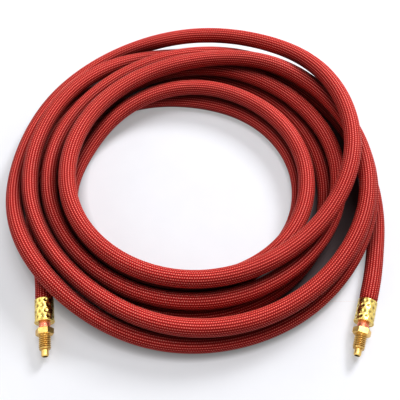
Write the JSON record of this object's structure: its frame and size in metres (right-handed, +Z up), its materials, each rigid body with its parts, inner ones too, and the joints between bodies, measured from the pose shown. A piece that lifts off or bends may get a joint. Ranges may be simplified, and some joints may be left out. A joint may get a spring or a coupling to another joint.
{
  "type": "TIG torch power cable",
  "caption": "Coiled red braided gas and power hose for a gas-cooled TIG torch, with a copper conductor inside and a crimped brass fitting with a male thread on each end.",
  "frame": {"origin": "on the floor under the middle of the coiled part", "axes": "+Z up; -Y towards both fittings; +X to the right seen from the fittings' side"},
  "size_m": [0.3352, 0.3324, 0.0597],
  "materials": {
    "braid": "glossy",
    "liner": "matte",
    "copper": "satin",
    "ferrule": "polished",
    "fitting": "satin"
  },
  "bodies": {
    "root": {"hose_coil": "braid", "hose_tail_left": "braid", "hose_tail_right": "braid", "conductor_coil": "copper", "conductor_tail_left": "copper", "conductor_tail_right": "copper", "conductor_end_left": "copper", "conductor_end_right": "copper", "liner_end_left": "liner", "liner_end_right": "liner", "cover_end_left": "braid", "cover_end_right": "braid", "ferrule_left": "ferrule", "ferrule_right": "ferrule", "fitting_left": "fitting", "fitting_right": "fitting"}
  },
  "joints": []
}
